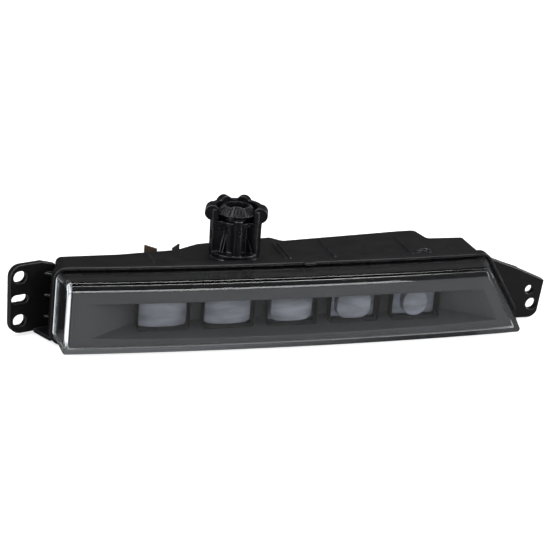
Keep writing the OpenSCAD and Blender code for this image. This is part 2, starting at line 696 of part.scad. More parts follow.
collar_z = body_top - shell - 2.3;
seal_z = body_top + 5.6;
module adjuster_shaft() color([0.55, 0.56, 0.58]) translate([tower_x, tower_y, 0]) difference() {
    rotate_extrude() polygon([[0, 4.5], [thread_r - 0.5, 4.5], [thread_r - 0.5, 9], [thread_r, 9.5],
        [thread_r, collar_z - 3], [shaft_r, collar_z - 3], [shaft_r, collar_z], [shaft_r + 2, collar_z],
        [shaft_r + 2, collar_z + 2], [shaft_r, collar_z + 2], [shaft_r, seal_z - 1],
        [shaft_r - 1.2, seal_z - 1], [shaft_r - 1.2, seal_z + 1], [shaft_r, seal_z + 1],
        [shaft_r, crown_z + 0.2], [shaft_r - 1, crown_z + 0.2],
        [shaft_r - 1, crown_z + 5.6], [0, crown_z + 5.6]]);
    // Cross recess in the end
    for (turn = [0, 90]) rotate([0, 0, turn]) translate([-2, -0.5, crown_z + 4]) cube([4, 1, 4]);
}

module adjuster_seal() color([0.15, 0.15, 0.16]) translate([tower_x, tower_y, seal_z])
    rotate_extrude() translate([shaft_r - 0.55, 0]) circle(r = 0.55);

carrier_x0 = row_mid - row_w / 2 - 3;
carrier_x1 = row_mid + row_w / 2 + 3;
carrier_y0 = trough_y + bezel_wall + 3.4;
cone_r = 6.2;
cone_l = board_y - carrier_y0 - 2.9;
arm_left = pivot_seat_left + arm_gap;
arm_right = pivot_seat_right - arm_gap;
module optic_carrier() color([0.22, 0.22, 0.24]) difference() {
    union() {
        // Channel open to the back
        difference() {
            translate([carrier_x0, carrier_y0, pivot_z - carrier_h / 2])
                cube([carrier_x1 - carrier_x0, board_y + board_t - carrier_y0, carrier_h]);
            translate([carrier_x0 + carrier_wall, carrier_y0 + carrier_wall,
                pivot_z - carrier_h / 2 + carrier_wall])
                cube([carrier_x1 - carrier_x0 - 2 * carrier_wall, 30, carrier_h - 2 * carrier_wall]);
        }
        for (x = screw_xs) translate([x, carrier_y0 + 1, pivot_z]) rotate([-90, 0, 0])
            cylinder(r = 3, h = board_y - carrier_y0 - 1 - 0.05);
        // Arms that reach the pivot studs
        for (end = [[arm_left, carrier_x0], [carrier_x1, arm_right]]) {
            translate([end[0], pivot_y - 2.5, pivot_z - 5]) cube([end[1] - end[0], 3.5, 10]);
        }
        for (x = [arm_left, arm_right - arm_t]) translate([x, pivot_y, pivot_z]) rotate([0, 90, 0])
            cylinder(r = pivot_r + 3.1, h = arm_t);
    }
    for (i = [1 : blocks]) translate([block_at(i), carrier_y0 - 1, window_z]) rotate([-90, 0, 0])
        cylinder(r = cone_r + 0.4, h = 6);
    for (x = screw_xs) translate([x, carrier_y0 + 3, pivot_z]) rotate([-90, 0, 0]) cylinder(r = 1.2, h = 20);
    for (x = [arm_left - 1, arm_right - arm_t - 3.2]) translate([x, pivot_y, pivot_z]) rotate([0, 90, 0])
        cylinder(r = pivot_r + run_gap, h = arm_t + 4.2);
}
screw_xs = [for (i = [1 : 2 : blocks - 1]) block_at(i) + block_pitch / 2];

// Clear light block: a cushion-shaped front on a collimating cone. Corners grow rounder to the right
module optic(i) color([0.8, 0.85, 0.9, 0.5]) translate([block_at(i), 0, window_z]) {
    corner = 1.6 + 1.15 * (i - 1);
    intersection() {
        prism(rounded(box(block_w, block_h), corner), 0, carrier_y0 - 1.7);
        translate([0, block_y + 24, 0]) sphere(r = 24, $fn = 96);
        translate([-30, block_y, -30]) cube([60, carrier_y0 - 1.7 - block_y, 60]);
    }
    prism(rounded(box(block_w - 0.4, block_h - 0.4), 1.5), block_y + 4.5, carrier_y0 - 1.7);
    prism(rounded(box(block_w + 4, block_h + 3.6), 2), carrier_y0 - 1.7 - tiny, carrier_y0 - 0.05);
    translate([0, carrier_y0 - 0.1, 0]) rotate([-90, 0, 0]) cylinder(r1 = cone_r, r2 = cone_r / 2, h = cone_l);
}
module optic_1() optic(1);
module optic_2() optic(2);
module optic_3() optic(3);
module optic_4() optic(4);
module optic_5() optic(5);

module led_board() color([0.9, 0.9, 0.88]) difference() {
    translate([carrier_x0 + carrier_wall + 0.2, board_y, pivot_z - carrier_h / 2 + carrier_wall + 0.2])
        cube([carrier_x1 - carrier_x0 - 2 * carrier_wall - 0.4, board_t,
            carrier_h - 2 * carrier_wall - 0.4]);
    for (x = screw_xs) translate([x, board_y - 1, pivot_z]) rotate([-90, 0, 0]) cylinder(r = 1.6, h = 6);
}

module led(i) color([0.95, 0.9, 0.55]) translate([block_at(i), board_y, window_z]) {
    translate([-2, -0.8, -2]) cube([4, 0.8 - tiny, 4]);
    intersection() {
        translate([0, -0.7, 0]) sphere(r = 1.4, $fn = 32);
        translate([-3, -3, -3]) cube([6, 2.3, 6]);
    }
}
module led_1() led(1);
module led_2() led(2);
module led_3() led(3);
module led_4() led(4);
module led_5() led(5);

arm_w = 14;
module heat_sink() color([0.62, 0.63, 0.65]) difference() {
    union() {
        translate([carrier_x0, sink_y, pivot_z - carrier_h / 2])
            cube([carrier_x1 - carrier_x0, sink_t, carrier_h]);
        for (x = [carrier_x0 + 2 : 5 : carrier_x1 - 2])
            if (abs(x - tower_x) > arm_w / 2 + 3 && min([for (s = screw_xs) abs(x - s)]) > 4)
                translate([x - 0.8, sink_y + sink_t - 0.1, pivot_z - carrier_h / 2 + 1])
                    cube([1.6, fin_d, carrier_h - 2]);
        // Arm that holds the adjuster's nut
        translate([tower_x - arm_w / 2, sink_y + sink_t - 0.1, pivot_z - 3.5])
            cube([arm_w, tower_y - sink_y - sink_t + 0.1, 7]);
        translate([tower_x, tower_y, pivot_z - 3.5]) cylinder(r = arm_w / 2, h = 7);
    }
    translate([tower_x, tower_y, pivot_z - 10]) cylinder(r = nut_r + 0.04, h = 20);
    for (x = screw_xs) translate([x, sink_y - 1, pivot_z]) rotate([-90, 0, 0]) cylinder(r = 1.7, h = 9);
}

module adjuster_nut() color([0.85, 0.85, 0.82]) translate([tower_x, tower_y, pivot_z]) difference() {
    union() {
        translate([0, 0, -4.5]) cylinder(r = nut_r, h = 9);
        translate([0, 0, -4.9]) cylinder(r = nut_r + 1, h = 1.3);
    }
    translate([0, 0, -6]) cylinder(r = thread_r + 0.3, h = 14);
}

module module_screws() color([0.6, 0.6, 0.62]) for (x = screw_xs)
    translate([x, sink_y + sink_t + seat, pivot_z]) rotate([-90, 0, 0]) {
        cylinder(r = 2.8, h = 1.5);
        translate([0, 0, -8]) cylinder(r = 1.15, h = 8.2);
    }

// Puts the origin on the flat underside
module stand() translate([0, -origin_y, 0]) children();

stand() housing();
stand() lens_cover();
stand() lens_seal();
stand() bezel();
stand() bezel_screws();
stand() pivot_stud_left();
stand() pivot_stud_right();
stand() connector_socket();
stand() connector_terminals();
stand() connector_seal();
stand() vent_cap();
stand() rear_clip();
stand() adjuster_wheel();
stand() adjuster_shaft();
stand() adjuster_seal();
stand() optic_carrier();
stand() optic_1();
stand() optic_2();
stand() optic_3();
stand() optic_4();
stand() optic_5();
stand() led_board();
stand() led_1();
stand() led_2();
stand() led_3();
stand() led_4();
stand() led_5();
stand() heat_sink();
stand() module_screws();
stand() adjuster_nut();
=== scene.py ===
"""Looks of the daytime running light: finishes, rounded edges, studio and camera.

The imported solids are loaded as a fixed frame. Each operator below dresses one piece or one group of
like pieces, and the panel in the sidebar lists them in order. +X runs along the lamp, +Y to the back
and +Z up. Meshes, properties and noise are in metres; the constants of the shapes are in millimetres.
"""

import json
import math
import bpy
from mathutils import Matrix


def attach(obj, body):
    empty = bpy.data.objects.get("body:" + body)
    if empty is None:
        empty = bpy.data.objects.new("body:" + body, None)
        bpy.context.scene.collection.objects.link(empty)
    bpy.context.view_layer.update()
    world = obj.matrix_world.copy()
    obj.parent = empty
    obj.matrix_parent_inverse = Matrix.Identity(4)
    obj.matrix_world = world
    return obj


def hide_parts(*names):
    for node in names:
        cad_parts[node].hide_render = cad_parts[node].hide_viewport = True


bl_info = {
    "name": "Daytime running light",
    "version": (1, 0, 0),
    "blender": (4, 5, 0),
    "location": "3D View > Sidebar > Lamp",
    "description": "Dresses the solids of a daytime running light with finishes and a studio",
    "category": "Add Mesh",
}

import bmesh
import bpy
import numpy as np
from mathutils import Matrix, Vector

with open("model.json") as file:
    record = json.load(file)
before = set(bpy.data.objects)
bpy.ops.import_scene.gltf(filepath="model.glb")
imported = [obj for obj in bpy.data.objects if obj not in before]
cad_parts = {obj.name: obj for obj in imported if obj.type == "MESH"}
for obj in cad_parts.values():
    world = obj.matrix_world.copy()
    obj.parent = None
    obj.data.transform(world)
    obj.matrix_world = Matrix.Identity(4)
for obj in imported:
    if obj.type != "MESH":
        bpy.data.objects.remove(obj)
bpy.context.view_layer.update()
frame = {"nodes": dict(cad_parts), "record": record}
MM = 0.001
RECORD_COLOURS = {m["slot"]: m["base_color"][:3] for m in frame["record"]["materials"]}
SLOT_OF = {s["node"]: s["material_slot"] for s in frame["record"]["subparts"]}
BODY_OF = {n: body for body, names in frame["record"]["behaviour"]["bodies"].items() for n in names}


class LampSizes(bpy.types.PropertyGroup):
    """Sizes of the visible surfaces that the frame doesn't give"""

    wall: bpy.props.FloatProperty(
        name="Cover wall", description="Wall of the clear cover", default=2.6 * MM, unit="LENGTH")
    front_round: bpy.props.FloatProperty(
        name="Front edge radius", description="Radius of the edges round the cover's front face",
        default=0.9 * MM, unit="LENGTH")
    top_round: bpy.props.FloatProperty(
        name="Chamfer edge radius", description="Softness of the edges along the cover's chamfers",
        default=1.0 * MM, unit="LENGTH")
    moulded_round: bpy.props.FloatProperty(
        name="Moulded edge radius", description="Radius of the edges on moulded pieces",
        default=0.25 * MM, unit="LENGTH")


class LampColours(bpy.types.PropertyGroup):
    """Colours and gloss of the finishes"""

    housing: bpy.props.FloatVectorProperty(
        name="Housing", description="Black of the moulded housing", subtype="COLOR",
        default=(0.0045, 0.0041, 0.0050))
    tower: bpy.props.FloatVectorProperty(
        name="Adjuster", description="Black of the toothed wheel and its tower", subtype="COLOR",
        default=(0.0035, 0.0032, 0.0048))
    bezel: bpy.props.FloatVectorProperty(
        name="Bezel", description="Grey of the bezel's face", subtype="COLOR",
        default=(0.053, 0.054, 0.058))
    cover: bpy.props.FloatVectorProperty(
        name="Cover", description="Tint of the clear cover", subtype="COLOR",
        default=(0.97, 0.98, 0.985))
    # Painted shade: the trough's slopes and floor get this darker grey
    trough: bpy.props.FloatVectorProperty(
        name="Trough", description="Darker grey of the trough's slopes and floor", subtype="COLOR",
        default=(0.034, 0.035, 0.037))
    block: bpy.props.FloatVectorProperty(
        name="Light blocks", description="Milky tint of the light blocks", subtype="COLOR",
        default=(0.25, 0.26, 0.295))
    grain: bpy.props.FloatProperty(
        name="Grain depth", description="Depth of the moulded plastic's grain",
        default=0.012 * MM, unit="LENGTH")


class StudioSettings(bpy.types.PropertyGroup):
    """Camera and lamps"""

    azimuth: bpy.props.FloatProperty(
        name="Azimuth", description="Turn of the camera to the lamp's left", subtype="ANGLE",
        default=math.radians(17.9))
    elevation: bpy.props.FloatProperty(
        name="Elevation", description="Height angle of the camera", subtype="ANGLE",
        default=math.radians(20.0))
    roll: bpy.props.FloatProperty(
        name="Roll", description="Roll of the camera", subtype="ANGLE", default=math.radians(4.1))
    distance: bpy.props.FloatProperty(
        name="Distance", description="Distance from the camera to the point it looks at",
        default=0.8281, unit="LENGTH")
    focal: bpy.props.FloatProperty(
        name="Focal length", description="Focal length on a square 36 mm sensor, in millimetres",
        default=110.28)
    target: bpy.props.FloatVectorProperty(
        name="Target", description="Point that the camera looks at", unit="LENGTH",
        default=(-16.0 * MM, -30.0 * MM, 39.7 * MM))
    white: bpy.props.FloatProperty(
        name="White", description="Strength at which the background shows as white", default=1.0)


# Meshes

# Points nearer than this, in metres, are one point: in a grid and in a mesh of the frame
GRID_DOUBLE = 1e-7
CAD_DOUBLE = 2e-6

# Faces of the frame that meet at less than the first angle, in degrees, are joined. Edges steeper than
# the others are sharp: on pieces of the frame, the cover and the light blocks
FLAT_ANGLE = 0.4
SHARP_ANGLE = 32.0
COVER_ANGLE = 50.0
BLOCK_ANGLE = 40.0

# Faces in a rounding, and the weight at which the largest face alone sets a normal
BEVEL_SEGMENTS = 2
FULL_WEIGHT = 100


def new_object(name, mesh, material, body):
    """Links a mesh as a named piece that rides on a body of the frame."""
    piece = bpy.data.objects.new(name, mesh)
    bpy.context.scene.collection.objects.link(piece)
    piece.data.materials.clear()
    piece.data.materials.append(material)
    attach(piece, body)
    return piece


def grid_mesh(name, rows):
    """Mesh of a grid of points, rows x columns x 3. Each cell becomes one face, and the columns close on
    themselves. Points that coincide are merged, so collapsed rows leave no seam."""
    n_rows, n_cols = rows.shape[:2]
    index = np.arange(n_rows * n_cols).reshape(n_rows, n_cols)
    right = np.roll(index, -1, axis=1)
    cells = np.stack([index[:-1], right[:-1], right[1:], index[1:]], axis=-1)
    mesh = bpy.data.meshes.new(name)
    mesh.from_pydata(rows.reshape(-1, 3).tolist(), [], cells.reshape(-1, 4).tolist())
    merge(mesh)
    return mesh


def merge(mesh):
    """Merges doubles, drops faces without area and points the faces outwards."""
    work = bmesh.new()
    work.from_mesh(mesh)
    bmesh.ops.remove_doubles(work, verts=work.verts, dist=GRID_DOUBLE)
    bmesh.ops.dissolve_degenerate(work, edges=work.edges, dist=GRID_DOUBLE)
    bmesh.ops.recalc_face_normals(work, faces=work.faces)
    work.to_mesh(mesh)
    work.free()
    mesh.update()


def smooth(piece, angle):
    """Smooth shading with sharp edges where faces meet at more than the angle."""
    mesh = piece.data
    mesh.shade_smooth()
    mesh.set_sharp_from_angle(angle=math.radians(angle))


def paint(piece, test, material):
    """Gives a second material to the faces for which the test holds. The test gets all centres, in
    millimetres, and all normals."""
    mesh = piece.data
    mesh.materials.append(material)
    centres = np.empty(len(mesh.polygons) * 3)
    normals = np.empty(len(mesh.polygons) * 3)
    mesh.polygons.foreach_get("center", centres)
    mesh.polygons.foreach_get("normal", normals)
    chosen = test(centres.reshape(-1, 3) / MM, normals.reshape(-1, 3))
    places = np.empty(len(mesh.polygons), dtype=np.int32)
    mesh.polygons.foreach_get("material_index", places)
    places[chosen] = len(mesh.materials) - 1
    mesh.polygons.foreach_set("material_index", places)


def weigh_normals(piece):
    """Keeps large faces flat beside small roundings."""
    weights = piece.modifiers.new("Flat faces", "WEIGHTED_NORMAL")
    weights.keep_sharp = True
    weights.weight = FULL_WEIGHT


def softened(node, radius):
    """Copy of a CAD node with its sharp edges rounded: the loose triangles are merged, flat faces are
    joined, and each sharp edge gets a rounding. Where the slot has one, the rounding takes a lighter,
    glossier finish, whose lighter colour is a painted highlight."""
    source = frame["nodes"][node]
    mesh = source.data.copy()
    mesh.name = node + "_dressed"
    work = bmesh.new()
    work.from_mesh(mesh)
    bmesh.ops.remove_doubles(work, verts=work.verts, dist=CAD_DOUBLE)
    bmesh.ops.dissolve_limit(
        work, angle_limit=math.radians(FLAT_ANGLE), verts=work.verts, edges=work.edges,
        use_dissolve_boundaries=False, delimit={"NORMAL"})
    work.to_mesh(mesh)
    work.free()
    piece = new_object(node + "_dressed", mesh, finishes[SLOT_OF[node]], BODY_OF[node])
    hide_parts(node)
    smooth(piece, SHARP_ANGLE)
    bevel = piece.modifiers.new("Edges", "BEVEL")
    bevel.width = radius
    bevel.segments = BEVEL_SEGMENTS
    bevel.limit_method = "ANGLE"
    bevel.angle_limit = math.radians(SHARP_ANGLE)
    bevel.use_clamp_overlap = False
    bevel.miter_outer = "MITER_ARC"
    # The roundings get a lighter colour as a painted highlight along the edges
    edge = SLOT_OF[node] + "_edge"
    if edge in finishes:
        mesh.materials.append(finishes[edge])
        bevel.material = len(mesh.materials) - 1
    weigh_normals(piece)
    return piece


# Finishes

finishes = {}

BLACK = (0.004, 0.004, 0.0045)

# Depth of the grain on smooth pieces, and grains in a metre of satin and of spark-eroded plastic
POLISHED = 0.002 * MM
SATIN = 0.003 * MM
SATIN_CELL = 1500.0
SPARK_CELL = 2600.0

# Share of the light that one wall of clear plastic lets through on to what it covers
SHADOW_TINT = 0.94

# Strength of the painted glow in the cover's foot, an emission that stands in for light the wall guides:
# front to back at the left end, at the right end, and left to right along the lower edge
GLOW_LEFT = (0.05, 1.6)
GLOW_RIGHT = 0.05
GLOW_LOW = (0.12, 0.02)


class NodeBench:
    """Adds shader nodes to one material or world and links them."""

    def __init__(self, owner):
        owner.use_nodes = True
        self.tree = owner.node_tree

    def add(self, kind, inputs=(), **settings):
        """New node with its settings and inputs: a socket is linked, anything else is a value."""
        made = self.tree.nodes.new(kind)
        for key, value in settings.items():
            setattr(made, key, value)
        for key, value in dict(inputs).items():
            self.feed(made.inputs[key], value)
        return made

    def feed(self, socket, value):
        """Links a socket or sets its value. A colour gets full opacity."""
        if isinstance(value, bpy.types.NodeSocket):
            self.tree.links.new(value, socket)
        elif socket.type == "RGBA" and len(value) == 3:
            socket.default_value = (*value, 1.0)
        else:
            socket.default_value = value

    def ramp(self, factor, low, high, at=(0.3, 0.7)):
        """Value between low and high as the factor runs between the two places."""
        made = self.add("ShaderNodeMapRange", {
            "Value": factor, "From Min": at[0], "From Max": at[1], "To Min": low, "To Max": high})
        return made.outputs["Result"]

    def math(self, operation, first, second, clamp=False):
        """Result of one operation on two numbers."""
        made = self.add("ShaderNodeMath", {0: first, 1: second}, operation=operation, use_clamp=clamp)
        return made.outputs["Value"]

    def between(self, factor, first, second):
        """Number between two numbers."""
        return self.add("ShaderNodeMix", {0: factor, 2: first, 3: second}).outputs[0]

    def blend(self, factor, first, second):
        """Colour between two colours."""
        return self.add("ShaderNodeMix", {0: factor, 6: first, 7: second}, data_type="RGBA").outputs[2]


class Finish(NodeBench):
    """Bench of one new material, with its shader."""

    def __init__(self, name):
        self.material = bpy.data.materials.new(name)
        super().__init__(self.material)
        self.shader = self.tree.nodes["Principled BSDF"]
        self.out = self.tree.nodes["Material Output"]

    def noise(self, scale, detail, stretch=None):
        """Noise over Object coordinates, stretched along the axes when asked."""
        place = self.add("ShaderNodeTexCoord").outputs["Object"]
        if stretch:
            place = self.add("ShaderNodeMapping", {"Vector": place, "Scale": stretch}).outputs["Vector"]
        made = self.add("ShaderNodeTexNoise", {"Vector": place, "Scale": scale, "Detail": detail})
        return made.outputs["Fac"]

    def bump(self, height, depth):
        """Bump of a height between 0 and 1, as deep as given."""
        made = self.add("ShaderNodeBump", {"Height": height, "Strength": 1.0, "Distance": depth})
        self.tree.links.new(made.outputs["Normal"], self.shader.inputs["Normal"])

    def set(self, **values):
        """Sets or links the shader's own sockets, named with underscores for spaces."""
        for key, value in values.items():
            self.feed(self.shader.inputs[key.replace("_", " ")], value)


def shade(colour, factor):
    """Colour made lighter or darker by a factor."""
    return tuple(min(1.0, c * factor) for c in colour)


def moulded(name, colour, rough, grain, spread=0.25, gloss=0.5, cell=SPARK_CELL):
    """Moulded plastic: fine spark-eroded grain, faint cloudy differences in colour and gloss."""
    bench = Finish(name)
    clouds = bench.noise(scale=38.0, detail=3.0)
    rub = bench.noise(scale=160.0, detail=4.0)
    bench.set(
        Base_Color=bench.blend(bench.ramp(clouds, 0.0, 1.0), shade(colour, 1 - spread),
                               shade(colour, 1 + spread)),
        Roughness=bench.ramp(rub, rough - 0.06, rough + 0.08),
        Specular_IOR_Level=gloss)
    bench.bump(bench.noise(scale=cell, detail=2.0), grain)
    return bench.material


def metal(name, colour, rough, stretch=(1.0, 1.0, 1.0)):
    """Worked metal: fine streaks in gloss along the direction it was worked."""
    bench = Finish(name)
    streaks = bench.noise(scale=900.0, detail=3.0, stretch=stretch)
    stain = bench.noise(scale=120.0, detail=3.0)
    bench.set(
        Base_Color=bench.blend(bench.ramp(stain, 0.0, 1.0), shade(colour, 0.8), shade(colour, 1.1)),
        Metallic=1.0,
        Roughness=bench.ramp(streaks, rough - 0.07, rough + 0.1))
    bench.bump(streaks, depth=0.004 * MM)
    return bench.material


def rubber(name, colour):
    """Soft rubber: matt, slightly dusty."""
    bench = Finish(name)
    dust = bench.noise(scale=240.0, detail=5.0)
    bench.set(
        Base_Color=bench.blend(bench.ramp(dust, 0.0, 1.0), colour, shade(colour, 1.7)),
        Roughness=bench.ramp(dust, 0.68, 0.85),
        Specular_IOR_Level=0.35)
    bench.bump(bench.noise(scale=1800.0, detail=2.0), depth=0.02 * MM)
    return bench.material


def clear(name, colour, index, rough, waves, haze=0.0, haze_colour=BLACK):
    """Clear moulded plastic. Lamps and diffuse light pass straight through it, so that what it covers
    is lit, and haze mixes in the milky scatter of thick plastic, with faint veins."""
    bench = Finish(name)
    flow = bench.noise(scale=45.0, detail=2.0, stretch=(0.35, 1.0, 1.0))
    bench.set(
        Base_Color=colour, Roughness=bench.ramp(flow, rough, rough * 1.5), IOR=index,
        Transmission_Weight=1.0)
    bench.bump(flow, waves)
    surface = bench.shader.outputs["BSDF"]
    if haze > 0:
        veins = bench.ramp(bench.noise(scale=110.0, detail=4.0, stretch=(0.5, 1.0, 2.0)), 0.0, 1.0)
        milk = bench.add("ShaderNodeBsdfDiffuse", {
            "Color": bench.blend(veins, shade(haze_colour, 0.72), shade(haze_colour, 1.35))})
        mixed = bench.add("ShaderNodeMixShader", {"Fac": haze, 1: surface, 2: milk.outputs["BSDF"]})
        surface = mixed.outputs["Shader"]
    path = bench.add("ShaderNodeLightPath").outputs
    soft = bench.math("MAXIMUM", path["Is Shadow Ray"], path["Is Diffuse Ray"])
    through = bench.add("ShaderNodeBsdfTransparent", {"Color": shade(colour, SHADOW_TINT)})
    final = bench.add("ShaderNodeMixShader", {"Fac": soft, 1: surface, 2: through.outputs["BSDF"]})
    bench.tree.links.new(final.outputs["Shader"], bench.out.inputs["Surface"])
    return bench.material


def painted_glow_foot(name, colour):
    """Painted glow on the end of the cover's leg: an emission, not a lamp, that stands in for light the
    wall guides. There is much at the left, a little at the right and along the lower edge, and none along
    the upper one. Each ramp runs between two places on an axis."""
    bench = Finish(name)
    place = bench.add("ShaderNodeTexCoord").outputs["Object"]
    axis = bench.add("ShaderNodeSeparateXYZ", {"Vector": place}).outputs
    end = bench.ramp(axis["Y"], *GLOW_LEFT, at=(-0.0108, -0.0092))
    edge = bench.ramp(axis["X"], 1.0, 0.0, at=(-0.1205, -0.1165))
    right = bench.ramp(axis["X"], 0.0, GLOW_RIGHT, at=(0.098, 0.102))
    under = bench.ramp(axis["Z"], 1.0, 0.0, at=(0.003, 0.006))
    along = bench.ramp(axis["X"], *GLOW_LOW, at=(-0.060, 0.060))
    below_top = bench.ramp(axis["Z"], 1.0, 0.0, at=(0.034, 0.038))
    sides = bench.math("MAXIMUM", bench.math("MULTIPLY", end, edge), right)
    glow = bench.math("MAXIMUM", sides, bench.math("MULTIPLY", under, along))
    bench.set(
        Base_Color=colour, Roughness=0.6, Specular_IOR_Level=0.1, Emission_Color=(0.9, 0.95, 1.0),
        Emission_Strength=bench.math("MULTIPLY", glow, below_top))
    return bench.material


def solder_board(name, colour):
    """White solder mask with faint copper tracks under it."""
    bench = Finish(name)
    place = bench.add("ShaderNodeTexCoord").outputs["Object"]
    flat = bench.add("ShaderNodeMapping", {"Vector": place, "Rotation": (math.radians(90), 0, 0)})
    tracks = bench.add("ShaderNodeTexBrick", {
        "Vector": flat.outputs["Vector"], "Scale": 160.0, "Mortar Size": 0.01}).outputs["Fac"]
    bench.set(Base_Color=bench.blend(tracks, colour, shade(colour, 0.86)), Roughness=0.35)
    bench.bump(tracks, depth=0.03 * MM)
    return bench.material


def make_finishes(colours):
    """All finishes: one for each material slot of the record, and those that some faces get besides.
    Each row gives the kind of material, its colour and its other values."""
    known = RECORD_COLOURS
    grain = colours.grain
    rows = {
        "housing_plastic": (moulded, colours.housing, 0.36, grain, 0.12),
        # Lighter colours of the roundings on the housing and the wheel are painted highlights
        "housing_plastic_edge": (moulded, shade(colours.housing, 3.5), 0.28, POLISHED, 0.25, 0.9),
        "wheel_plastic_edge": (moulded, shade(colours.tower, 2.5), 0.25, POLISHED, 0.25, 0.7),
        "clear_cover": (clear, colours.cover, 1.58, 0.0, 0.001 * MM),
        "seal_rubber": (rubber, (0.012, 0.012, 0.013)),
        "bezel_plastic": (moulded, colours.bezel, 0.5, SATIN, 0.05, 0.25, SATIN_CELL),
        # Painted shade: darker grey in the bezel's trough and black on its sides
        "bezel_trough": (moulded, colours.trough, 0.45, SATIN, 0.05, 0.25, SATIN_CELL),
        "bezel_side": (moulded, BLACK, 0.6, SATIN, 0.1, 0.1),
        # Painted glow for the cover's foot, which is no lamp
        "cover_foot": (painted_glow_foot, BLACK),
        "screw_steel": (metal, known["screw_steel"], 0.3),
        "socket_plastic": (moulded, (0.011, 0.011, 0.012), 0.38, grain),
        "terminal_brass": (metal, known["terminal_brass"], 0.25),
        "clip_steel": (metal, (0.16, 0.12, 0.09), 0.42),
        "wheel_plastic": (moulded, colours.tower, 0.3, POLISHED, 0.25, 0.4),
        "tower_plastic": (moulded, colours.tower, 0.3, POLISHED, 0.25, 0.3),
        "shaft_steel": (metal, known["shaft_steel"], 0.28, (1.0, 1.0, 6.0)),
        "carrier_plastic": (moulded, (0.022, 0.022, 0.024), 0.55, grain),
        "block_clear": (clear, (0.85, 0.88, 0.93), 1.49, 0.02, 0.01 * MM, 0.8, colours.block),
        "board_white": (solder_board, known["board_white"]),
        "led_yellow": (moulded, known["led_yellow"], 0.3, 0.004 * MM),
        "sink_aluminium": (metal, known["sink_aluminium"], 0.5),
        "nut_plastic": (moulded, known["nut_plastic"], 0.45, 0.006 * MM),
    }
    for name, (kind, *values) in rows.items():
        finishes[name] = kind(name, *values)


# Clear cover. Depths are measured behind its curved front face.

# Length and bulge of the front face, and the line between its ends
COVER_LENGTH = 240.0
BULGE = 4.5
CHORD_Y = -30.0

# Depth of the body and of the leg's end
BODY_DEPTH = 18.2
LEG_DEPTH = 22.1

# Heights of the front face's edges and of the rim, and rise of the slopes between them by depth
EDGE_LOW = 4.7
EDGE_HIGH = 34.8
RIM_LOW = 2.0
RIM_HIGH = 38.6
LOW_SLOPE = 2.7
HIGH_SLOPE = 3.8 / 3.0

# Slant of each end by height and its flare by depth
RIGHT_SLANT = 0.62
LEFT_SLANT = 0.04
RIGHT_FLARE = 5.8 / BODY_DEPTH
LEFT_FLARE = 1.6 / BODY_DEPTH

FRONT_RADIUS = (COVER_LENGTH ** 2 / 4 + BULGE ** 2) / (2 * BULGE)

# Corner radius at the front, what it gains on the way to the leg, and its least value
CORNER_FRONT = 1.2
CORNER_GAIN = 3.3
CORNER_LEAST = 0.8

# Roundings of the inner surface as shares of the outer ones
INNER_SOFTNESS = 0.3
INNER_EDGE = 0.4

# Rows: the leg's end short of the body, coarse ones down to a depth, fine ones below the next
LEG_GAP = 0.4
COARSE_END = 6.5
FINE_START = 5.8
LEG_ROWS = 3
COARSE_ROWS = 7
FINE_ROWS = 21
TURN_ROWS = 6
FACE_ROWS = 10

# Points in a corner's arc, and between the corners on the lower, right, upper and left side
COVER_GRID = (9, (230, 24, 230, 24))

# The foot, which gets the painted glow, starts this far behind the body
FOOT_GAP = 0.2


def soft_least(a, b, softness):
    """The lesser of two values, with a rounded change between them."""
    return (a + b - np.sqrt((a - b) ** 2 + softness ** 2)) / 2


def behind_front(x, depth):
    """Y of a point at x that lies the given depth behind the cover's curved front, in millimetres."""
    return FRONT_RADIUS - BULGE - np.sqrt((FRONT_RADIUS - depth) ** 2 - x ** 2)


def cover_corners(depth, inset, softness):
    """Corners, counterclockwise from the lower left one, of the cover's outline at one depth. Each side
    is the line in which that side's plane is cut, and inset moves the planes inwards."""
    high = soft_least(EDGE_HIGH + HIGH_SLOPE * depth - inset * math.hypot(1, HIGH_SLOPE),
                      RIM_HIGH - inset, softness)
    low = -soft_least(-(EDGE_LOW - LOW_SLOPE * depth + inset * math.hypot(1, LOW_SLOPE)),
                      -(RIM_LOW + inset), softness)
    half = COVER_LENGTH / 2
    flare = min(depth, BODY_DEPTH)

    def right(z):
        x = half - RIGHT_SLANT * (z - EDGE_LOW)
        y = behind_front(x, 0.0) + flare
        return x + RIGHT_FLARE * y - inset * math.sqrt(1 + RIGHT_FLARE ** 2 + RIGHT_SLANT ** 2)

    def left(z):
        x = -half + LEFT_SLANT * (z - EDGE_LOW)
        y = behind_front(x, 0.0) + flare
        return x - LEFT_FLARE * y + inset * math.sqrt(1 + LEFT_FLARE ** 2 + LEFT_SLANT ** 2)

    return np.array([[left(low), low], [right(low), low], [right(high), high], [left(high), high]])


def rounded_outline(corners, radius, arc, along):
    """Outline of a four-cornered shape with an arc in each corner. An arc starts where a circle of the
    radius touches the side and turns by the corner's angle; the sides are divided evenly. The last two
    values are the points of an arc and of each side."""
    points = []
    ends = []
    for i in range(4):
        before, here, after = corners[i - 1], corners[i], corners[(i + 1) % 4]
        u = (here - before) / np.linalg.norm(here - before)
        v = (after - here) / np.linalg.norm(after - here)
        turn = math.acos(np.clip(u @ v, -1, 1))
        start = here - u * radius * math.tan(turn / 2)
        middle = start + radius * np.array([-u[1], u[0]])
        t = np.linspace(0, turn, arc)
        arm = start - middle
        ends.append(middle + np.stack([
            arm[0] * np.cos(t) - arm[1] * np.sin(t), arm[0] * np.sin(t) + arm[1] * np.cos(t)], axis=-1))
    for i in range(4):
        points.append(ends[i])
        a, b = ends[i][-1], ends[(i + 1) % 4][0]
        s = np.linspace(0, 1, along[i] + 2)[1:-1, None]
        points.append(a + (b - a) * s)
    return np.concatenate(points)


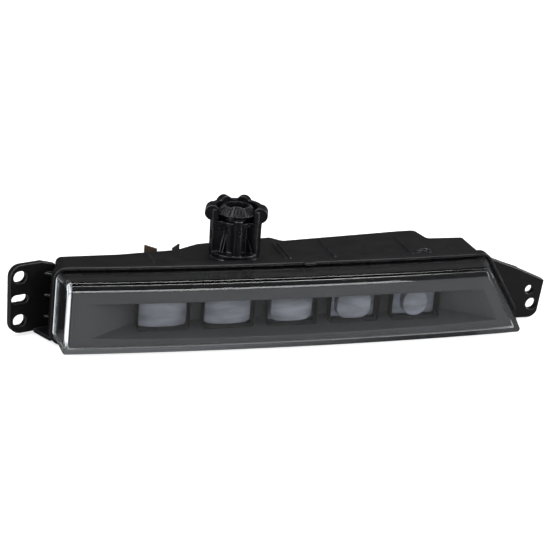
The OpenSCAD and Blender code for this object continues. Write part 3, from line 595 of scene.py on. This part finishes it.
def spine_outline(corners, arc, along):
    """The outline collapsed on the shape's middle line: lower and upper points meet in pairs."""
    z = (corners[0][1] + corners[2][1]) / 2
    half = (corners[2][1] - corners[0][1]) / 2
    left = (corners[0][0] + corners[3][0]) / 2 + half
    right = (corners[1][0] + corners[2][0]) / 2 - half
    half_arc = arc // 2
    run = np.concatenate([
        np.zeros(half_arc), np.linspace(0, 1, along[0] + 2 * (arc - half_arc)), np.ones(half_arc)])
    share = np.concatenate([run, np.ones(along[1]), run[::-1], np.zeros(along[3])])
    x = left + (right - left) * share
    return np.stack([x, np.full_like(x, z)], axis=-1)


def corner_radius(depth):
    """Corner radius of the cover's outline. It grows evenly on the way to the leg."""
    return CORNER_FRONT + CORNER_GAIN * min(1.0, depth / BODY_DEPTH)


def cover_side(inset, softness, edge):
    """Rows of the cover from its leg to the centre of its front face, for one of its two surfaces. The
    depth falls along the leg and the body, then an arc of the given radius turns on to the front face,
    whose rows shrink evenly on to the middle line."""
    depths = np.concatenate([
        np.linspace(LEG_DEPTH, BODY_DEPTH + LEG_GAP, LEG_ROWS),
        np.linspace(BODY_DEPTH, COARSE_END, COARSE_ROWS),
        np.linspace(FINE_START, inset + edge, FINE_ROWS)])
    turns = np.radians(np.linspace(0, 90, TURN_ROWS))[1:]
    rows = []

    def row(depth, extra):
        corners = cover_corners(depth, inset, softness)
        centre = corners.mean(axis=0)
        radius = max(CORNER_LEAST, corner_radius(depth) - inset)
        flat = rounded_outline(corners, radius + extra, *COVER_GRID)
        if extra > 0:
            size = np.abs(corners - centre).max(axis=0)
            flat = centre + (flat - centre) * (1 - extra / size)
        rows.append(np.stack([flat[:, 0], behind_front(flat[:, 0], depth), flat[:, 1]], axis=-1))
        return corners

    for depth in depths:
        row(depth, 0.0)
    for turn in turns:
        corners = row(inset + edge * (1 - math.sin(turn)), edge * (1 - math.cos(turn)))
    last = rows[-1][:, [0, 2]]
    spine = spine_outline(corners, *COVER_GRID)
    for share in np.linspace(0, 1, FACE_ROWS)[1:]:
        flat = last + (spine - last) * share
        rows.append(np.stack([flat[:, 0], behind_front(flat[:, 0], inset), flat[:, 1]], axis=-1))
    return np.array(rows)


def make_cover(sizes):
    """Closed shell of the clear cover: the outer rows run from the front's middle line to the leg's end,
    and the inner rows run back."""
    edge = sizes.front_round / MM
    softness = sizes.top_round / MM
    outer = cover_side(0.0, softness, edge)
    inner = cover_side(sizes.wall / MM, softness * INNER_SOFTNESS, edge * INNER_EDGE)
    rows = np.concatenate([outer[::-1], inner])
    rows[..., 1] += CHORD_Y
    return grid_mesh("lens_cover_shell", rows * MM)


# Light blocks, the first at the left. Depths are measured behind the line between the cover's ends.

BLOCKS = 5
BLOCK_PITCH = 33.0
BLOCK_FIRST = -69.7
BLOCK_Z = 19.2

# Foremost point of the front, radius of its ball and of the edge round it
BLOCK_Y = 6.4
BLOCK_DOME = 24.0
BLOCK_EDGE = 0.7

# Size of the first front. Others lose width by the square of their number, and gain corner radius
BLOCK_WIDTH = 24.4
BLOCK_NARROWING = 0.72
BLOCK_HALF_HEIGHT = 7.0
BLOCK_CORNER = 1.6
BLOCK_ROUNDING = 1.15

# Points as in COVER_GRID, and rows of the front and of its edge
BLOCK_GRID = (8, (12, 8, 12, 8))
DOME_ROWS = 12
DOME_TURNS = 5

# Half sizes and corners of the plate and the flange, and the corner that makes a square almost round
PLATE_HALF = (12.0, 6.8)
PLATE_CORNER = 1.5
FLANGE_HALF = (14.2, 8.8)
FLANGE_CORNER = 2.0
ROUND_CORNER = 0.96

# Depths of the steps behind the front, and half widths of the cone's two ends
PLATE_FRONT = 12.4
FLANGE_FRONT = 15.7
FLANGE_BACK = 17.35
CONE_BACK = 22.55
CONE_WIDE = 6.2
CONE_NARROW = 3.1


def upright(half_w, half_h):
    """Corners, counterclockwise from the lower left one, of an upright oblong round the origin."""
    return np.array([[-half_w, -half_h], [half_w, -half_h], [half_w, half_h], [-half_w, half_h]])


def make_block(i):
    """Light block i, from 0 at the left, as one grid: an outline that shrinks on to the centre of a
    domed front, turns over a rounded edge, and runs back over the plate and flange on to the cone.
    The front is part of a ball, y = front + R - sqrt(R^2 - x^2 - z^2), and from block to block it gets
    narrower and rounder."""
    half_w = (BLOCK_WIDTH - BLOCK_NARROWING * i * i) / 2
    corner = BLOCK_CORNER + BLOCK_ROUNDING * i
    outline = rounded_outline(upright(half_w, BLOCK_HALF_HEIGHT), corner, *BLOCK_GRID)
    plate = rounded_outline(upright(*PLATE_HALF), PLATE_CORNER, *BLOCK_GRID)
    flange = rounded_outline(upright(*FLANGE_HALF), FLANGE_CORNER, *BLOCK_GRID)
    ring = rounded_outline(upright(1.0, 1.0), ROUND_CORNER, *BLOCK_GRID)
    shrink = 1 - BLOCK_EDGE / BLOCK_HALF_HEIGHT

    def dome(flat):
        return BLOCK_Y + BLOCK_DOME - np.sqrt(BLOCK_DOME ** 2 - (flat ** 2).sum(axis=1))

    rows = []

    def row(flat, y):
        rows.append(np.stack([flat[:, 0], np.broadcast_to(y, len(flat)), flat[:, 1]], axis=-1))

    for share in np.linspace(0, 1, DOME_ROWS):
        flat = outline * share * shrink
        row(flat, dome(flat))
    inner = outline * shrink
    for turn in np.radians(np.linspace(0, 90, DOME_TURNS))[1:]:
        flat = inner + (outline - inner) * math.sin(turn)
        row(flat, dome(inner) + BLOCK_EDGE * (1 - math.cos(turn)))
    for flat, y in (
            (outline, PLATE_FRONT), (plate, PLATE_FRONT), (plate, FLANGE_FRONT), (flange, FLANGE_FRONT),
            (flange, FLANGE_BACK), (ring * CONE_WIDE, FLANGE_BACK), (ring * CONE_NARROW, CONE_BACK),
            (ring * 0.0, CONE_BACK)):
        row(flat, y)
    grid = np.array(rows)
    grid += (BLOCK_FIRST + BLOCK_PITCH * i, CHORD_Y, BLOCK_Z)
    return grid_mesh(f"light_block_{i + 1}", grid * MM)


# Operators. The places where a piece changes its finish are in millimetres.

# Axis of the adjuster's tower, height of its foot and reach round the axis
TOWER_X = -27.0
TOWER_Y = 6.0
TOWER_FOOT = 38.9
TOWER_REACH = 18.0

# The bezel's trough starts behind its face and gets a painted shade of darker grey. Its sides lie beyond
# these places, on faces that look outwards, and its back looks away from the cover; both are painted black
# as shade
BEZEL_DEPTH = 3.4
TROUGH_GAP = 0.6
SIDE_LOW = 12
SIDE_HIGH = 28
SIDE_LEFT = -105
SIDE_RIGHT = 98
LEAN = 0.3
END_LEAN = 0.5

# Roundings of small pieces as shares of the moulded one
SMALL_ROUNDING = {"connector_socket": 0.6, "vent_cap": 0.6, "rear_clip": 0.3}
WHEEL_ROUNDING = 0.5


class LAMP_OT_finishes(bpy.types.Operator):
    """Makes the finishes and lays them on every node of the frame"""

    bl_idname = "lamp.finishes"
    bl_label = "Finishes"

    def execute(self, context):
        make_finishes(context.scene.lamp_colours)
        for name, node in frame["nodes"].items():
            node.data.materials.clear()
            node.data.materials.append(finishes[SLOT_OF[name]])
        return {"FINISHED"}


class LAMP_OT_cover(bpy.types.Operator):
    """Replaces the clear cover by a shell with rounded edges"""

    bl_idname = "lamp.cover"
    bl_label = "Clear cover"

    def execute(self, context):
        mesh = make_cover(context.scene.lamp_sizes)
        piece = new_object("lens_cover_shell", mesh, finishes["clear_cover"], "lamp")
        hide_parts("lens_cover")

        def foot(centres, normals):
            from_axis = np.hypot(centres[:, 0], FRONT_RADIUS - BULGE + CHORD_Y - centres[:, 1])
            return FRONT_RADIUS - from_axis > BODY_DEPTH + FOOT_GAP

        # The foot's faces get the painted glow
        paint(piece, foot, finishes["cover_foot"])
        smooth(piece, COVER_ANGLE)
        weigh_normals(piece)
        return {"FINISHED"}


class LAMP_OT_housing(bpy.types.Operator):
    """Rounds the edges of the housing and its cap, socket and clip"""

    bl_idname = "lamp.housing"
    bl_label = "Housing"

    def execute(self, context):
        radius = context.scene.lamp_sizes.moulded_round
        piece = softened("housing", radius)

        def tower(centres, normals):
            away = np.hypot(centres[:, 0] - TOWER_X, centres[:, 1] - TOWER_Y)
            return (centres[:, 2] > TOWER_FOOT) & (away < TOWER_REACH)

        paint(piece, tower, finishes["tower_plastic"])
        for node, share in SMALL_ROUNDING.items():
            softened(node, radius * share)
        return {"FINISHED"}


class LAMP_OT_adjuster(bpy.types.Operator):
    """Rounds the teeth of the adjuster's wheel"""

    bl_idname = "lamp.adjuster"
    bl_label = "Adjuster"

    def execute(self, context):
        softened("adjuster_wheel", context.scene.lamp_sizes.moulded_round * WHEEL_ROUNDING)
        return {"FINISHED"}


class LAMP_OT_bezel(bpy.types.Operator):
    """Rounds the bezel's edges and paints shade on its trough, in a darker grey, and on its sides, in
    black
    """

    bl_idname = "lamp.bezel"
    bl_label = "Bezel"

    def execute(self, context):
        piece = softened("bezel", context.scene.lamp_sizes.moulded_round)

        def depth(centres):
            return centres[:, 1] - CHORD_Y - behind_front(centres[:, 0], 0.0)

        # Faces of the trough, which get a painted shade
        def trough(centres, normals):
            return (depth(centres) > BEZEL_DEPTH + TROUGH_GAP) & (np.abs(normals[:, 0]) < LEAN)

        # Faces of the sides and back, which are painted black as shade
        def side(centres, normals):
            x, z = centres[:, 0], centres[:, 2]
            upper = (normals[:, 2] > LEAN) & (z > SIDE_HIGH)
            lower = (normals[:, 2] < -LEAN) & (z < SIDE_LOW)
            left = (normals[:, 0] < -END_LEAN) & (x < SIDE_LEFT)
            right = (normals[:, 0] > END_LEAN) & (x > SIDE_RIGHT)
            back = normals[:, 1] > LEAN
            return upper | lower | left | right | back

        paint(piece, trough, finishes["bezel_trough"])
        paint(piece, side, finishes["bezel_side"])
        return {"FINISHED"}


class LAMP_OT_light_blocks(bpy.types.Operator):
    """Replaces the light blocks by ones with rounded edges"""

    bl_idname = "lamp.light_blocks"
    bl_label = "Light blocks"

    def execute(self, context):
        for i in range(BLOCKS):
            node = f"optic_{i + 1}"
            mesh = make_block(i)
            piece = new_object(mesh.name, mesh, finishes["block_clear"], BODY_OF[node])
            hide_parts(node)
            smooth(piece, BLOCK_ANGLE)
        return {"FINISHED"}


class LAMP_OT_studio(bpy.types.Operator):
    """Sets up the pale floor, the soft lamps, the white surroundings and the camera"""

    bl_idname = "lamp.studio"
    bl_label = "Studio"

    def execute(self, context):
        settings = context.scene.lamp_studio
        make_surroundings(settings)
        make_floor()
        make_lamps(Vector(settings.target))
        make_camera(settings)
        context.scene.view_settings.view_transform = "Standard"
        return {"FINISHED"}


class LAMP_PT_panel(bpy.types.Panel):
    """Lists the steps in order"""

    bl_idname = "LAMP_PT_panel"
    bl_label = "Daytime running light"
    bl_space_type = "VIEW_3D"
    bl_region_type = "UI"
    bl_category = "Lamp"

    def draw(self, context):
        for step in STEPS:
            self.layout.operator(step.bl_idname)


# Studio

# Strength of the tent's light on the object, and of what a mirror sees at the horizon and above it,
# with the heights between which it fades
TENT_SOFT = 0.55
TENT_HORIZON = 0.10
TENT_CEILING = 0.03
TENT_FADE = (0.05, 0.45)

# Half size of the floor in metres, its tone, and its tone in a mirror
FLOOR_HALF = 3.0
FLOOR_TONE = 0.62
FLOOR_MIRRORED = 0.2

# The camera's sensor in millimetres, and the nearest distance that it shows in metres
SENSOR = 36.0
NEAREST = 0.05


def make_surroundings(settings):
    """World: white for rays that show the background, and soft grey light for the object. Rays that a
    glossy surface has sent on see a grey horizon fade to a dark ceiling, as in a tent with an open top."""
    world = bpy.data.worlds.new("Studio tent")
    bpy.context.scene.world = world
    bench = NodeBench(world)
    path = bench.add("ShaderNodeLightPath").outputs
    place = bench.add("ShaderNodeTexCoord").outputs["Generated"]
    height = bench.add("ShaderNodeSeparateXYZ", {"Vector": place}).outputs["Z"]
    mirror = bench.ramp(height, TENT_HORIZON, TENT_CEILING, at=TENT_FADE)
    shown = bench.math("MAXIMUM", path["Is Camera Ray"], path["Is Transmission Ray"])
    bounced = bench.math("MINIMUM", path["Glossy Depth"], 1.0)
    direct = bench.math("SUBTRACT", shown, bounced, clamp=True)
    others = bench.between(bounced, TENT_SOFT, mirror)
    back = world.node_tree.nodes["Background"]
    bench.feed(back.inputs["Strength"], bench.between(direct, others, settings.white))
    bench.feed(back.inputs["Color"], (1.0, 1.0, 1.0))


def make_floor():
    """Pale floor. It shows white wherever the lamps reach it and keeps the object's shadow, and it is
    darker in a mirror, so that the cover doesn't turn grey."""
    half = FLOOR_HALF
    mesh = bpy.data.meshes.new("floor")
    mesh.from_pydata(
        [(-half, -half, 0), (half, -half, 0), (half, half, 0), (-half, half, 0)], [], [(0, 1, 2, 3)])
    floor = bpy.data.objects.new("floor", mesh)
    bpy.context.scene.collection.objects.link(floor)
    bench = Finish("pale_floor")
    path = bench.add("ShaderNodeLightPath").outputs
    glow = bench.math("MULTIPLY", path["Is Camera Ray"], FLOOR_TONE)
    mirrored = bench.math("MINIMUM", path["Glossy Depth"], 1.0)
    bench.set(Base_Color=bench.blend(mirrored, (FLOOR_TONE,) * 3, (FLOOR_MIRRORED,) * 3),
              Roughness=0.9, Specular_IOR_Level=0.0,
              Emission_Color=(1.0, 1.0, 1.0), Emission_Strength=glow)
    mesh.materials.append(bench.material)


def make_lamps(target):
    """Soft boxes: a large one above, one at each side and a weak one at the front. Each row gives a name,
    a place, a size and a power in watts."""
    boxes = (
        ("overhead", (-0.10, 0.15, 1.10), (1.6, 0.6), 10.0),
        ("left", (-1.05, -0.40, 0.45), (0.25, 0.9), 5.0),
        ("right", (1.10, -0.40, 0.45), (0.5, 0.9), 10.0),
        ("front", (0.25, -1.30, 0.75), (0.9, 0.5), 5.0),
    )
    for name, place, size, power in boxes:
        data = bpy.data.lights.new(name, "AREA")
        data.shape = "RECTANGLE"
        data.size, data.size_y = size
        data.energy = power
        lamp = bpy.data.objects.new(name, data)
        bpy.context.scene.collection.objects.link(lamp)
        lamp.location = place
        aim = target - Vector(place)
        lamp.rotation_euler = aim.to_track_quat("-Z", "Y").to_euler()


def make_camera(settings):
    """Camera at the photograph's angle. It looks along d from its distance, and its own right and up
    are turned about d by the roll."""
    az, el, roll = settings.azimuth, settings.elevation, settings.roll
    d = Vector((math.sin(az) * math.cos(el), math.cos(az) * math.cos(el), -math.sin(el)))
    right = Vector((math.cos(az), -math.sin(az), 0.0))
    up = right.cross(d)
    right_2 = right * math.cos(roll) + up * math.sin(roll)
    up_2 = up * math.cos(roll) - right * math.sin(roll)
    data = bpy.data.cameras.new("camera")
    data.sensor_width = data.sensor_height = SENSOR
    data.sensor_fit = "HORIZONTAL"
    data.lens = settings.focal
    data.clip_start = NEAREST
    camera = bpy.data.objects.new("camera", data)
    bpy.context.scene.collection.objects.link(camera)
    turn = Matrix((right_2, up_2, -d)).transposed().to_4x4()
    camera.matrix_world = Matrix.Translation(Vector(settings.target) - d * settings.distance) @ turn
    bpy.context.scene.camera = camera


STEPS = (LAMP_OT_finishes, LAMP_OT_cover, LAMP_OT_light_blocks, LAMP_OT_bezel, LAMP_OT_housing,
         LAMP_OT_adjuster, LAMP_OT_studio)
GROUPS = {"lamp_sizes": LampSizes, "lamp_colours": LampColours, "lamp_studio": StudioSettings}


def register():
    """Registers the groups of settings, the steps and the panel."""
    for group in GROUPS.values():
        bpy.utils.register_class(group)
    for key, group in GROUPS.items():
        setattr(bpy.types.Scene, key, bpy.props.PointerProperty(type=group))
    for step in STEPS:
        bpy.utils.register_class(step)
    bpy.utils.register_class(LAMP_PT_panel)


def unregister():
    """Takes back what register did, in the opposite order."""
    bpy.utils.unregister_class(LAMP_PT_panel)
    for step in reversed(STEPS):
        bpy.utils.unregister_class(step)
    for key, group in GROUPS.items():
        delattr(bpy.types.Scene, key)
        bpy.utils.unregister_class(group)


def main():
    """Runs all steps."""
    register()
    for step in STEPS:
        group, name = step.bl_idname.split(".")
        getattr(getattr(bpy.ops, group), name)()


if __name__ == "__main__":
    main()
